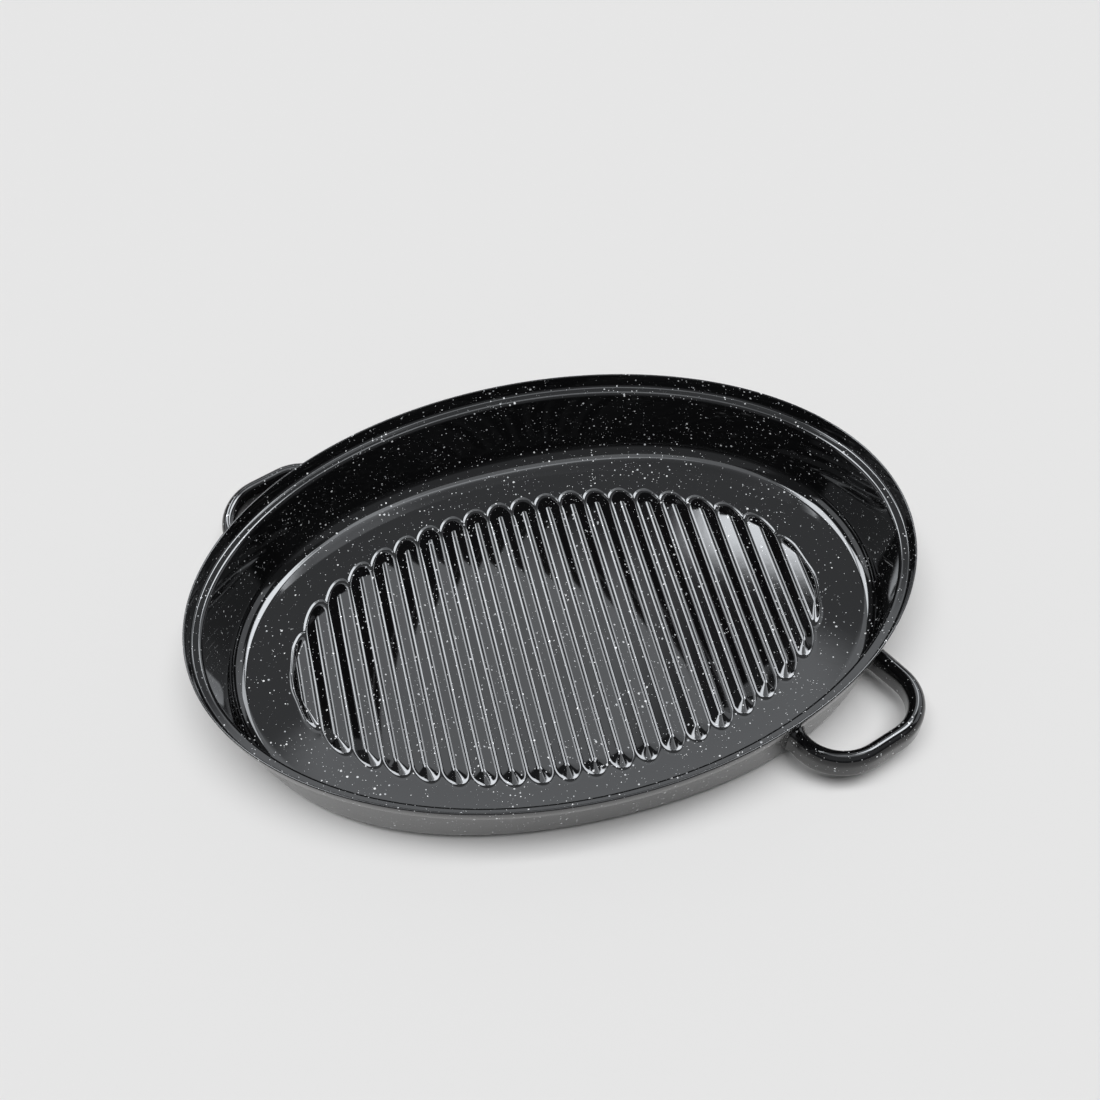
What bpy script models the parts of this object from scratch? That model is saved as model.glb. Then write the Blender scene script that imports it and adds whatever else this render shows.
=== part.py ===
"""Oval enamelled roasting pan: a pressed shell with a ridged floor and two welded bow handles.

All sizes are in metres. The long axis of the pan runs along X, the floor ridges run along Y,
and the pan stands on the plane Z = 0.
"""

import math

import bmesh
import bpy
from mathutils import Vector
from mathutils.bvhtree import BVHTree
from mathutils.geometry import delaunay_2d_cdt

# Pressed sheet and its rim
SHEET = 0.0012
RIM_LENGTH = 0.400
RIM_WIDTH = 0.2784
INNER_DEPTH = 0.0585
RIM_SEGMENTS = 96

# Side profile of the inner face: flared lip, narrow ledge, steep wall and floor round
LIP_HEIGHT = 0.0087
LIP_FLARE = 0.0013
LEDGE_WIDTH = 0.0057
LEDGE_FALL = 0.0015
WALL_DRAFT = math.radians(11.7)
LIP_ROUND = 0.0013
LEDGE_ROUND = 0.0020
FLOOR_ROUND = 0.0100
LIP_ROUND_STEPS = 3
FLOOR_ROUND_STEPS = 5
EDGE_STEPS = 3

# Floor ridges, whose number follows from the floor that is left inside the margins
END_MARGIN = 0.0180
SIDE_MARGIN = 0.0162
RIDGE_PITCH = 0.0148
RIDGE_FLANK = math.radians(28.5)
RIDGE_ROUND = 0.0040
RIDGE_END_LENGTH = 0.0110
RIDGE_SHORTEST_STRAIGHT = 0.0012
RIDGE_END_STEPS = 8
MARGIN_GUIDE_SEGMENTS = 48

# Bow handles
HANDLE_ANGLE = math.radians(46.1)
HANDLE_TWIST = math.radians(-13.2)
HANDLE_LOWER_EDGE = 0.0145
HANDLE_RISE = 0.12
HANDLE_ROOT_HALF_SPAN = 0.0340
HANDLE_BAR_HALF_SPAN = 0.0360
HANDLE_REACH = 0.0273
HANDLE_START = -0.0040
HANDLE_CORNER_RADIUS = 0.0257
HANDLE_WIDTH = 0.0093
HANDLE_HEIGHT = 0.0162
HANDLE_CROWN_HEIGHT = 0.0065
HANDLE_SHEET = 0.0014
HANDLE_CROWN_STEPS = 10
HANDLE_CORNER_STEPS = 9
HANDLE_BAR_STEPS = 4
FOOT_FLARE = 0.0009
WELD_GAP = 0.0003
STEEPEST_MEETING = 0.3

# Merging and shading
MERGE_DISTANCE = 2e-6
TRIANGULATION_TOLERANCE = 1e-9
SMOOTH_LIMIT = math.radians(40)


def clear_scene():
    """Remove the objects of the startup scene."""
    for old in list(bpy.data.objects):
        bpy.data.objects.remove(old, do_unlink=True)


def enamel(name, color, roughness):
    """Glossy vitreous enamel fired on steel, as one plain shader."""
    material = bpy.data.materials.new(name)
    material.use_nodes = True
    shader = material.node_tree.nodes["Principled BSDF"]
    shader.inputs["Base Color"].default_value = (*color, 1.0)
    shader.inputs["Metallic"].default_value = 0.0
    shader.inputs["Roughness"].default_value = roughness
    shader.inputs["IOR"].default_value = 1.52
    material.diffuse_color = (*color, 1.0)
    return material


def rounded_line(corners, radii, steps):
    """A polyline through corners whose inner corners are replaced by arcs."""
    line = [Vector(corners[0])]
    for i in range(1, len(corners) - 1):
        before, here, after = (Vector(corners[k]) for k in (i - 1, i, i + 1))
        back = (before - here).normalized()
        ahead = (after - here).normalized()
        half = back.angle(ahead) / 2
        trim = radii[i - 1] / math.tan(half)
        start = here + back * trim
        end = here + ahead * trim
        centre = here + (back + ahead).normalized() * (radii[i - 1] / math.sin(half))
        first = start - centre
        turn = first.angle_signed(end - centre)
        for k in range(steps[i - 1] + 1):
            angle = -turn * k / steps[i - 1]
            cos, sin = math.cos(angle), math.sin(angle)
            line.append(
                centre + Vector((first.x * cos - first.y * sin, first.x * sin + first.y * cos))
            )
    line.append(Vector(corners[-1]))
    return line


def side_profile():
    """Inset and depth of the inner face, from the lip down to the flat floor."""
    lip = (SHEET + LIP_FLARE, LIP_HEIGHT)
    ledge = (lip[0] + LEDGE_WIDTH, LIP_HEIGHT + LEDGE_FALL)
    wall_foot = ledge[0] + (INNER_DEPTH - ledge[1]) * math.tan(WALL_DRAFT)
    corners = (
        (SHEET, SHEET / 2),
        lip,
        ledge,
        (wall_foot, INNER_DEPTH),
        (wall_foot + 2 * FLOOR_ROUND, INNER_DEPTH),
    )
    radii = (LIP_ROUND, LEDGE_ROUND, FLOOR_ROUND)
    steps = (LIP_ROUND_STEPS, LIP_ROUND_STEPS, FLOOR_ROUND_STEPS)
    return rounded_line(corners, radii, steps)[:-1]


def oval(inset, depth, segments):
    """Points of the pan's oval, moved in by inset and down by depth below the rim."""
    half_length = RIM_LENGTH / 2 - inset
    half_width = RIM_WIDTH / 2 - inset
    height = INNER_DEPTH + SHEET - depth
    points = []
    for k in range(segments):
        angle = math.tau * k / segments
        points.append(
            Vector((half_length * math.cos(angle), half_width * math.sin(angle), height))
        )
    return points


def ridge_sizes():
    """Share of the half pitch where the crest round ends and the valley round starts."""
    half = RIDGE_PITCH / 2
    round_part = RIDGE_ROUND * math.sin(RIDGE_FLANK) / half
    return round_part, 1 - round_part


def ridge_height(share):
    """Height of the ridge at a share of the half pitch away from its crest."""
    half = RIDGE_PITCH / 2
    crest, valley = ridge_sizes()
    away = min(share, 1.0) * half
    cap = RIDGE_ROUND * (1 - math.cos(RIDGE_FLANK))
    flank = (valley - crest) * half * math.tan(RIDGE_FLANK)
    full = 2 * cap + flank
    if share <= crest:
        return full - RIDGE_ROUND + math.sqrt(RIDGE_ROUND**2 - away**2)
    if share <= valley:
        return full - cap - (away - crest * half) * math.tan(RIDGE_FLANK)
    left = half - away
    return RIDGE_ROUND - math.sqrt(RIDGE_ROUND**2 - left**2)


def ridge_count():
    """The largest odd number of ridges that fits between the end margins."""
    room = RIM_LENGTH / 2 - side_profile()[-1].x - END_MARGIN
    return 2 * int((2 * room / RIDGE_PITCH - 1) / 2) + 1


def straight_end(x):
    """Half length of the straight part of the ridges at x, set by the oval field."""
    half_width = RIM_WIDTH / 2 - side_profile()[-1].x - SIDE_MARGIN
    share = min(abs(x) / (ridge_count() * RIDGE_PITCH / 2), 1.0)
    reach = half_width * math.sqrt(1 - share * share)
    return max(reach - RIDGE_END_LENGTH, RIDGE_SHORTEST_STRAIGHT / 2)


def ridge_point(centre, side, share, angle):
    """A point of a ridge's rounded end, in polar steps about the end of its crest."""
    x = centre + share * math.cos(angle) * RIDGE_PITCH / 2
    along = straight_end(x) + share * math.sin(angle) * RIDGE_END_LENGTH
    return Vector((x, side * along, SHEET + ridge_height(share)))


def add_face(bm, points):
    """Add one face on new vertices, which are merged later."""
    bm.faces.new([bm.verts.new(point) for point in points])


def add_ridge(bm, centre):
    """One raised ridge: a straight zigzag part and two rounded ends."""
    crest, valley = ridge_sizes()
    rings = (0.0, crest, valley, 1.0)
    steps = [math.pi * k / RIDGE_END_STEPS for k in range(RIDGE_END_STEPS + 1)]
    for angle in (0.0, math.pi):
        for inner, outer in zip(rings, rings[1:]):
            add_face(
                bm,
                (
                    ridge_point(centre, 1, inner, angle),
                    ridge_point(centre, 1, outer, angle),
                    ridge_point(centre, -1, outer, angle),
                    ridge_point(centre, -1, inner, angle),
                ),
            )
    for side in (1, -1):
        for low, high in zip(steps, steps[1:]):
            add_face(
                bm,
                (
                    ridge_point(centre, side, 0.0, low),
                    ridge_point(centre, side, crest, low),
                    ridge_point(centre, side, crest, high),
                ),
            )
            for inner, outer in ((crest, valley), (valley, 1.0)):
                add_face(
                    bm,
                    (
                        ridge_point(centre, side, inner, low),
                        ridge_point(centre, side, outer, low),
                        ridge_point(centre, side, outer, high),
                        ridge_point(centre, side, inner, high),
                    ),
                )


def ridge_centres():
    """X of each ridge crest, spread evenly about the middle of the floor."""
    middle = (ridge_count() - 1) / 2
    return [(k - middle) * RIDGE_PITCH for k in range(ridge_count())]


def field_outline():
    """The scalloped outline of all ridges, once round."""
    steps = [math.pi * k / RIDGE_END_STEPS for k in range(RIDGE_END_STEPS + 1)]
    back = []
    for centre in reversed(ridge_centres()):
        back += [ridge_point(centre, 1, 1.0, angle) for angle in steps[:-1]]
    back.append(ridge_point(ridge_centres()[0], 1, 1.0, math.pi))
    front = [Vector((-point.x, -point.y, point.z)) for point in back]
    return back + front


def inside(point, outline):
    """Whether a point lies inside a closed outline, counted by crossings."""
    crossings = 0
    for a, b in zip(outline, outline[1:] + outline[:1]):
        if (a.y > point.y) != (b.y > point.y):
            x = a.x + (point.y - a.y) * (b.x - a.x) / (b.y - a.y)
            crossings += x > point.x
    return crossings % 2 == 1


def add_margin(bm, floor_inset):
    """The flat margin between the ridges and the start of the floor round."""
    outline = field_outline()
    guide = oval(floor_inset + SIDE_MARGIN / 2, INNER_DEPTH, MARGIN_GUIDE_SEGMENTS)
    edge = oval(floor_inset, INNER_DEPTH, RIM_SEGMENTS)
    flat = [point.xy for point in outline + guide + edge]
    count = len(outline)
    loop = [(k, (k + 1) % count) for k in range(count)]
    points, _, faces, *_ = delaunay_2d_cdt(flat, loop, [], 0, TRIANGULATION_TOLERANCE)
    border = [point.xy for point in outline]
    for face in faces:
        middle = sum((points[k] for k in face), Vector((0.0, 0.0))) / len(face)
        if not inside(middle, border):
            add_face(bm, [Vector((points[k].x, points[k].y, SHEET)) for k in face])


def add_rings(bm, rings):
    """Quads between neighbouring closed rings of equal count."""
    for upper, lower in zip(rings, rings[1:]):
        count = len(upper)
        for k in range(count):
            after = (k + 1) % count
            add_face(bm, (upper[k], upper[after], lower[after], lower[k]))


def face_up(bm):
    """Merge the pieces of the skin and turn every face to the inside of the pan."""
    bmesh.ops.remove_doubles(bm, verts=bm.verts, dist=MERGE_DISTANCE)
    bmesh.ops.recalc_face_normals(bm, faces=bm.faces)
    flat = max(bm.faces, key=lambda face: face.calc_area() * abs(face.normal.z))
    if flat.normal.z < 0:
        bmesh.ops.reverse_faces(bm, faces=bm.faces)
    bm.normal_update()


def thicken(bm):
    """Give the skin its sheet thickness on the outside, with a rounded rim edge."""
    skin = list(bm.verts)
    faces = list(bm.faces)
    rim = [edge for edge in bm.edges if edge.is_boundary]
    outer = {}
    for vert in skin:
        point = vert.co - vert.normal * SHEET * vert.calc_shell_factor()
        if vert.co.z < SHEET + MERGE_DISTANCE:
            point.z = 0.0
        outer[vert] = point
    twin = {vert: bm.verts.new(point) for vert, point in outer.items()}
    edge_rings = {}
    for edge in rim:
        for vert in edge.verts:
            if vert in edge_rings:
                continue
            middle = (vert.co + outer[vert]) / 2
            spoke = vert.co - middle
            ring = [vert]
            for k in range(1, EDGE_STEPS):
                angle = math.pi * k / EDGE_STEPS
                lift = Vector((0.0, 0.0, spoke.length * math.sin(angle)))
                ring.append(bm.verts.new(middle + spoke * math.cos(angle) + lift))
            edge_rings[vert] = ring + [twin[vert]]
    for face in faces:
        bm.faces.new([twin[vert] for vert in reversed(face.verts)])
    for edge in rim:
        first, second = edge.verts
        here, there = edge_rings[first], edge_rings[second]
        for k in range(EDGE_STEPS):
            bm.faces.new((here[k], there[k], there[k + 1], here[k + 1]))
    bmesh.ops.recalc_face_normals(bm, faces=bm.faces)


def finish(bm, name, material):
    """Turn a closed bmesh into a smooth shaded object."""
    for face in bm.faces:
        face.smooth = True
    mesh = bpy.data.meshes.new(name)
    bm.to_mesh(mesh)
    bm.free()
    mesh.set_sharp_from_angle(angle=SMOOTH_LIMIT)
    mesh.materials.append(material)
    made = bpy.data.objects.new(name, mesh)
    bpy.context.scene.collection.objects.link(made)
    return made


def build_shell(material):
    """The pressed body: lip, ledge, wall, floor round, flat margin and ridges."""
    profile = side_profile()
    bm = bmesh.new()
    add_rings(bm, [oval(point.x, point.y, RIM_SEGMENTS) for point in profile])
    add_margin(bm, profile[-1].x)
    for centre in ridge_centres():
        add_ridge(bm, centre)
    face_up(bm)
    thicken(bm)
    tree = BVHTree.FromBMesh(bm)
    return finish(bm, "pan_shell", material), tree


def handle_line():
    """Middle line of the bow in its own plane: across the handle and out from the rim."""
    corners = (
        (-HANDLE_ROOT_HALF_SPAN, HANDLE_START),
        (-HANDLE_BAR_HALF_SPAN, HANDLE_REACH),
        (HANDLE_BAR_HALF_SPAN, HANDLE_REACH),
        (HANDLE_ROOT_HALF_SPAN, HANDLE_START),
    )
    radii = (HANDLE_CORNER_RADIUS, HANDLE_CORNER_RADIUS)
    steps = (HANDLE_CORNER_STEPS, HANDLE_CORNER_STEPS)
    line = rounded_line(corners, radii, steps)
    middle = len(line) // 2
    bar_start, bar_end = line[middle - 1], line[middle]
    bar = [
        bar_start.lerp(bar_end, k / HANDLE_BAR_STEPS) for k in range(1, HANDLE_BAR_STEPS)
    ]
    return line[:middle] + bar + line[middle:]


def channel_section(grow):
    """Outer and inner line of the arched channel, open underneath, from side to side."""
    half = HANDLE_WIDTH / 2 + grow
    outer = [Vector((half, -HANDLE_HEIGHT - grow))]
    inner = [Vector((half - HANDLE_SHEET, -HANDLE_HEIGHT - grow))]
    for k in range(HANDLE_CROWN_STEPS + 1):
        angle = math.pi * k / HANDLE_CROWN_STEPS
        cos, sin = math.cos(angle), math.sin(angle)
        spring = grow - HANDLE_CROWN_HEIGHT
        outer.append(Vector((half * cos, spring + HANDLE_CROWN_HEIGHT * sin)))
        inner.append(
            Vector(
                (
                    (half - HANDLE_SHEET) * cos,
                    spring + (HANDLE_CROWN_HEIGHT - HANDLE_SHEET) * sin,
                )
            )
        )
    outer.append(Vector((-outer[0].x, outer[0].y)))
    inner.append(Vector((-inner[0].x, inner[0].y)))
    return outer, inner


def handle_frame():
    """Root point on the rim and the across and outward directions of one handle."""
    half_length, half_width = RIM_LENGTH / 2, RIM_WIDTH / 2
    cos, sin = math.cos(HANDLE_ANGLE), math.sin(HANDLE_ANGLE)
    root = Vector((half_length * cos, -half_width * sin, 0.0))
    normal = Vector((cos / half_length, -sin / half_width)).normalized()
    turn = math.atan2(normal.y, normal.x) + HANDLE_TWIST
    outward = Vector((math.cos(turn), math.sin(turn), 0.0))
    across = Vector((-outward.y, outward.x, 0.0))
    return root, across, outward


def weld_point(tree, start, direction):
    """Where a leg line stops short of the pan wall by the weld gap."""
    hit, normal, _, _ = tree.ray_cast(start, direction)
    slope = max(abs(direction.dot(normal)), STEEPEST_MEETING)
    return hit - direction * (WELD_GAP / slope)


def handle_loop(line, index, grow):
    """The channel section set across the middle line at one of its points."""
    root, across, outward = handle_frame()
    point = line[index]
    run = (line[min(index + 1, len(line) - 1)] - line[max(index - 1, 0)]).normalized()
    sideways = Vector((-run.y, run.x))
    top = HANDLE_LOWER_EDGE + HANDLE_HEIGHT
    outer, inner = channel_section(grow)
    loop = []
    for drop in outer + inner[::-1]:
        flat = point + sideways * drop.x
        place = root + across * flat.x + outward * flat.y
        loop.append(Vector((place.x, place.y, top + HANDLE_RISE * point.y + drop.y)))
    return loop


def handle_foot(line, index, direction, tree):
    """The flared foot of a leg, run on along the leg until it meets the pan wall."""
    run = direction.normalized()
    return [weld_point(tree, start, run) for start in handle_loop(line, index, FOOT_FLARE)]


def build_handle(name, material, tree, side):
    """One pressed bow handle whose two flared feet meet the outer wall under the rim."""
    line = handle_line()
    loops = [handle_loop(line, index, 0.0) for index in range(len(line))]
    first_foot = handle_foot(line, 0, loops[0][0] - loops[1][0], tree)
    last_foot = handle_foot(line, len(line) - 1, loops[-1][0] - loops[-2][0], tree)
    loops = [first_foot] + loops + [last_foot]
    bm = bmesh.new()
    rows = [[bm.verts.new((side * p.x, side * p.y, p.z)) for p in loop] for loop in loops]
    count = len(rows[0])
    for here, there in zip(rows, rows[1:]):
        for k in range(count):
            after = (k + 1) % count
            bm.faces.new((here[k], here[after], there[after], there[k]))
    for row in (rows[0], rows[-1]):
        for k in range(count // 2 - 1):
            bm.faces.new((row[k], row[k + 1], row[count - 2 - k], row[count - 1 - k]))
    bmesh.ops.recalc_face_normals(bm, faces=bm.faces)
    return finish(bm, name, material)


def main():
    """Build the pan body and its two handles."""
    clear_scene()
    body_enamel = enamel("enamel_body", (0.022, 0.022, 0.024), 0.14)
    handle_enamel = enamel("enamel_handle", (0.018, 0.018, 0.020), 0.12)
    _, tree = build_shell(body_enamel)
    build_handle("handle_right", handle_enamel, tree, 1)
    build_handle("handle_left", handle_enamel, tree, -1)


main()
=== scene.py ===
"""Looks of the oval enamelled roasting pan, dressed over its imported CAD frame.

The pan is pressed from one steel sheet: a ridged floor in a dished margin, a steep wall, a ledge
and a flared lip. Two pressed bow handles are welded under the lip. All of it is coated with glossy
black vitreous enamel with fired-in white specks. Sizes are in metres, in the frame of the CAD.
"""

import logging
import math
from dataclasses import dataclass, field
from enum import Enum
from functools import cached_property
from typing import Callable, Sequence

import bmesh
import bpy
import numpy as np
from mathutils import Matrix, Vector
from mathutils.geometry import delaunay_2d_cdt

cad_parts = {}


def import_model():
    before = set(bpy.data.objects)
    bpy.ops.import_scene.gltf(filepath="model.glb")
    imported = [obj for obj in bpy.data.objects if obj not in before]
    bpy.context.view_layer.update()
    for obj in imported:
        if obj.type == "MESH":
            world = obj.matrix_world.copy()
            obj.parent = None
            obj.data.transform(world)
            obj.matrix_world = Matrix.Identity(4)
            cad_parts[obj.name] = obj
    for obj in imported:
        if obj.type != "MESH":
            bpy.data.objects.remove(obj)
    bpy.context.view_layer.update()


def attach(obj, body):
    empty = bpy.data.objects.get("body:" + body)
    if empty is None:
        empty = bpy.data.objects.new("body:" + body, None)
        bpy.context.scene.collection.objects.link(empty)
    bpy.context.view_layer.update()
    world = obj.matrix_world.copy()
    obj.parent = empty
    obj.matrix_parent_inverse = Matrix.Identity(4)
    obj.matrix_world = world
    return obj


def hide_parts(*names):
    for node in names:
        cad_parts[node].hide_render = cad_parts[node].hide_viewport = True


BODY = "root"
WELD = 2e-6
SAME_POINT = 1e-9
POINTS_AT_ONCE = 400
log = logging.getLogger("roasting_pan")


def linear(colour: str) -> tuple[float, float, float, float]:
    """Turn an sRGB hex colour into the linear RGBA that shader sockets take.

    Args:
        colour: The colour as "#RRGGBB".

    Returns:
        Linear red, green, blue and an alpha of 1.
    """
    shares = [int(colour[i : i + 2], 16) / 255 for i in (1, 3, 5)]
    straight = [
        share / 12.92 if share <= 0.04045 else ((share + 0.055) / 1.055) ** 2.4 for share in shares
    ]
    return (*straight, 1.0)


def add_node(
    tree: bpy.types.NodeTree,
    kind: str,
    settings: dict[str, object] | None = None,
    values: dict[str | int, object] | None = None,
) -> bpy.types.Node:
    """Add a node with its settings, its socket values and the links into it.

    Args:
        tree: The node tree that gets the node.
        kind: The node's Blender type name.
        settings: Attributes of the node, by name.
        values: For each input, by name or number, a value or the output socket that feeds it.

    Returns:
        The new node.
    """
    node = tree.nodes.new(kind)
    for name, value in (settings or {}).items():
        setattr(node, name, value)
    for name, value in (values or {}).items():
        if isinstance(value, bpy.types.NodeSocket):
            tree.links.new(value, node.inputs[name])
        else:
            node.inputs[name].default_value = value
    return node


def add_math(tree: bpy.types.NodeTree, operation: str, a: object, b: object) -> bpy.types.NodeSocket:
    """Add one Math node and return its result."""
    return add_node(tree, "ShaderNodeMath", {"operation": operation}, {0: a, 1: b}).outputs[0]


def add_mix(tree: bpy.types.NodeTree, factor: object, a: object, b: object) -> bpy.types.NodeSocket:
    """Add one node that mixes two colours and return its result."""
    values = {"Factor": factor, "A": a, "B": b}
    return add_node(tree, "ShaderNodeMix", {"data_type": "RGBA"}, values).outputs["Result"]


def add_noise(
    tree: bpy.types.NodeTree, place: object, size: float, detail: float, roughness: float = 0.5
) -> bpy.types.Node:
    """Add a noise texture.

    Args:
        tree: The node tree that gets the node.
        place: The socket of the coordinates in metres.
        size: The size of its grain.
        detail: How many times finer grain is laid over it.
        roughness: How strong the finer grain is.

    Returns:
        The new node.
    """
    values = {"Vector": place, "Scale": 1 / size, "Detail": detail, "Roughness": roughness}
    return add_node(tree, "ShaderNodeTexNoise", {}, values)


def deselect_all() -> None:
    """Leave edit mode and select nothing, so that the next operator acts on its own piece."""
    if bpy.context.object and bpy.context.object.mode != "OBJECT":
        bpy.ops.object.mode_set(mode="OBJECT")
    bpy.ops.object.select_all(action="DESELECT")


def make_active(piece: bpy.types.Object) -> None:
    """Select one piece alone and make it the active one."""
    deselect_all()
    piece.select_set(True)
    bpy.context.view_layer.objects.active = piece


def apply_modifier(piece: bpy.types.Object, kind: str, **settings: object) -> None:
    """Add a modifier to a piece and apply it.

    Args:
        piece: The piece that the modifier shapes.
        kind: The modifier's Blender type name.
        settings: Attributes of the modifier.
    """
    make_active(piece)
    modifier = piece.modifiers.new(kind.title(), kind)
    for name, value in settings.items():
        setattr(modifier, name, value)
    bpy.ops.object.modifier_apply(modifier=modifier.name)


def finish_shading(piece: bpy.types.Object, limit: float) -> None:
    """Shade a piece smooth, with sharp edges only where faces meet at more than the limit."""
    make_active(piece)
    bpy.ops.object.shade_smooth_by_angle(angle=limit)


def link_piece(bm: bmesh.types.BMesh, name: str) -> bpy.types.Object:
    """Turn a finished bmesh into a piece of the scene, with the name given."""
    mesh = bpy.data.meshes.new(name)
    bm.to_mesh(mesh)
    bm.free()
    piece = bpy.data.objects.new(name, mesh)
    bpy.context.scene.collection.objects.link(piece)
    return piece


def rounded_line(
    corners: Sequence[tuple[float, float]], radii: Sequence[float], steps: Sequence[int]
) -> list[Vector]:
    """A polyline whose inner corners are replaced by arcs.

    Args:
        corners: The sharp corners, ends included.
        radii: The arc radius of each inner corner.
        steps: The number of straight pieces in each arc.

    Returns:
        The points of the line, from the first corner to the last.
    """
    line = [Vector(corners[0])]
    for before, here, after, radius, count in zip(corners, corners[1:], corners[2:], radii, steps):
        before, here, after = Vector(before), Vector(here), Vector(after)
        back = (before - here).normalized()
        ahead = (after - here).normalized()
        half = back.angle(ahead) / 2
        start = here + back * (radius / math.tan(half))
        end = here + ahead * (radius / math.tan(half))
        centre = here + (back + ahead).normalized() * (radius / math.sin(half))
        spoke = start - centre
        turn = spoke.angle_signed(end - centre)
        for k in range(count + 1):
            angle = -turn * k / count
            cos, sin = math.cos(angle), math.sin(angle)
            line.append(centre + Vector((spoke.x * cos - spoke.y * sin, spoke.x * sin + spoke.y * cos)))
    line.append(Vector(corners[-1]))
    return line


def eased(share: float) -> float:
    """A smooth step from 0 to 1, level at both ends."""
    share = min(max(share, 0.0), 1.0)
    return share * share * (3 - 2 * share)


def farthest(holds: Callable[[float], bool], reach: float, halvings: int = 24) -> float:
    """The largest value for which a test still holds, found by halving.

    Args:
        holds: The test, which holds from zero up to the value looked for.
        reach: A value for which it no longer holds.
        halvings: How often the stretch between the two is halved.

    Returns:
        The value.
    """
    near, far = 0.0, reach
    for _ in range(halvings):
        middle = (near + far) / 2
        if holds(middle):
            near = middle
        else:
            far = middle
    return near


@dataclass(frozen=True)
class SpeckLayer:
    """One layer of white frit specks: their spacing, their radii and how rare large ones are."""

    spacing: float
    largest: float
    smallest: float
    rarity: float


@dataclass(frozen=True)
class SpeckledEnamel:
    """Black vitreous enamel with white specks, sprayed on pressed steel and fired at 820 C.

    The eye sees a deep black glass skin with sharp reflections, slightly wavy from the spray, and
    bright specks of many sizes that lie in the glass, some alone and some in loose groups.
    """

    name: str
    ground: str = "#0B0B0C"
    speck: str = "#F2F4F5"
    dim_speck: str = "#B8BCC0"
    roughness: float = 0.05
    ior: float = 1.53
    specks: tuple[SpeckLayer, ...] = (
        SpeckLayer(spacing=0.0027, largest=0.00070, smallest=0.00014, rarity=2.4),
        SpeckLayer(spacing=0.0015, largest=0.00032, smallest=0.00005, rarity=3.0),
    )
    speck_core: float = 0.72
    group_size: float = 0.022
    group_noise: tuple[float, float] = (0.35, 0.65)
    group_growth: tuple[float, float] = (0.75, 1.15)
    ragged_size: float = 0.0011
    ragged_reach: float = 0.00014
    peel_size: float = 0.0042
    peel_height: float = 0.000004
    peel_detail: float = 1.5
    peel_roughness: float = 0.45

    def build(self) -> bpy.types.Material:
        """Make the material.

        Returns:
            The material, with its pattern on Object coordinates.
        """
        material = bpy.data.materials.new(self.name)
        material.use_nodes = True
        tree = material.node_tree
        shader = tree.nodes["Principled BSDF"]
        place = add_node(tree, "ShaderNodeTexCoord").outputs["Object"]
        shown, whiteness = self._specks(tree, place)
        tone = add_mix(tree, whiteness, linear(self.dim_speck), linear(self.speck))
        colour = add_mix(tree, shown, linear(self.ground), tone)
        # The sprayed glass levels out as it melts and leaves long, very low waves.
        peel = add_noise(tree, place, self.peel_size, self.peel_detail, self.peel_roughness)
        bump = add_node(
            tree,
            "ShaderNodeBump",
            {},
            {"Height": peel.outputs["Fac"], "Distance": self.peel_height, "Strength": 1.0},
        )
        tree.links.new(colour, shader.inputs["Base Color"])
        tree.links.new(bump.outputs["Normal"], shader.inputs["Normal"])
        shader.inputs["Roughness"].default_value = self.roughness
        shader.inputs["IOR"].default_value = self.ior
        shader.inputs["Metallic"].default_value = 0.0
        material.diffuse_color = linear(self.ground)
        return material

    def _specks(
        self, tree: bpy.types.NodeTree, place: bpy.types.NodeSocket
    ) -> tuple[bpy.types.NodeSocket, bpy.types.NodeSocket]:
        """Where specks lie and how white each one is.

        Args:
            tree: The material's node tree.
            place: The coordinates in metres.

        Returns:
            The socket that is 1 on specks and 0 between them, and the one of their whiteness.
        """
        ragged = add_noise(tree, place, self.ragged_size, 1.0)
        centred = add_node(
            tree,
            "ShaderNodeVectorMath",
            {"operation": "SUBTRACT"},
            {0: ragged.outputs["Color"], 1: (0.5, 0.5, 0.5)},
        )
        moved = add_node(
            tree,
            "ShaderNodeVectorMath",
            {"operation": "MULTIPLY_ADD"},
            {0: centred.outputs[0], 1: (self.ragged_reach * 2,) * 3, 2: place},
        )
        groups = add_noise(tree, place, self.group_size, 0.0)
        crowd = add_node(
            tree,
            "ShaderNodeMapRange",
            {},
            {
                "Value": groups.outputs["Fac"],
                "From Min": self.group_noise[0],
                "From Max": self.group_noise[1],
                "To Min": self.group_growth[0],
                "To Max": self.group_growth[1],
            },
        )
        shown = whiteness = None
        for layer in self.specks:
            cells = add_node(
                tree,
                "ShaderNodeTexVoronoi",
                {"feature": "F1"},
                {"Vector": moved.outputs[0], "Scale": 1 / layer.spacing, "Randomness": 1.0},
            )
            chance = add_node(tree, "ShaderNodeSeparateColor", {}, {"Color": cells.outputs["Color"]})
            rare = add_math(tree, "POWER", chance.outputs["Red"], layer.rarity)
            radius = add_node(
                tree,
                "ShaderNodeMapRange",
                {},
                {
                    "Value": rare,
                    "To Min": layer.smallest / layer.spacing,
                    "To Max": layer.largest / layer.spacing,
                },
            )
            crowded = add_math(tree, "MULTIPLY", radius.outputs[0], crowd.outputs[0])
            depth = add_math(tree, "DIVIDE", cells.outputs["Distance"], crowded)
            spot = add_node(
                tree,
                "ShaderNodeMapRange",
                {"interpolation_type": "SMOOTHSTEP"},
                {"Value": depth, "From Min": 1.0, "From Max": self.speck_core},
            ).outputs[0]
            if shown is None:
                shown, whiteness = spot, chance.outputs["Green"]
            else:
                shown = add_math(tree, "MAXIMUM", shown, spot)
        return shown, whiteness


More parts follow.
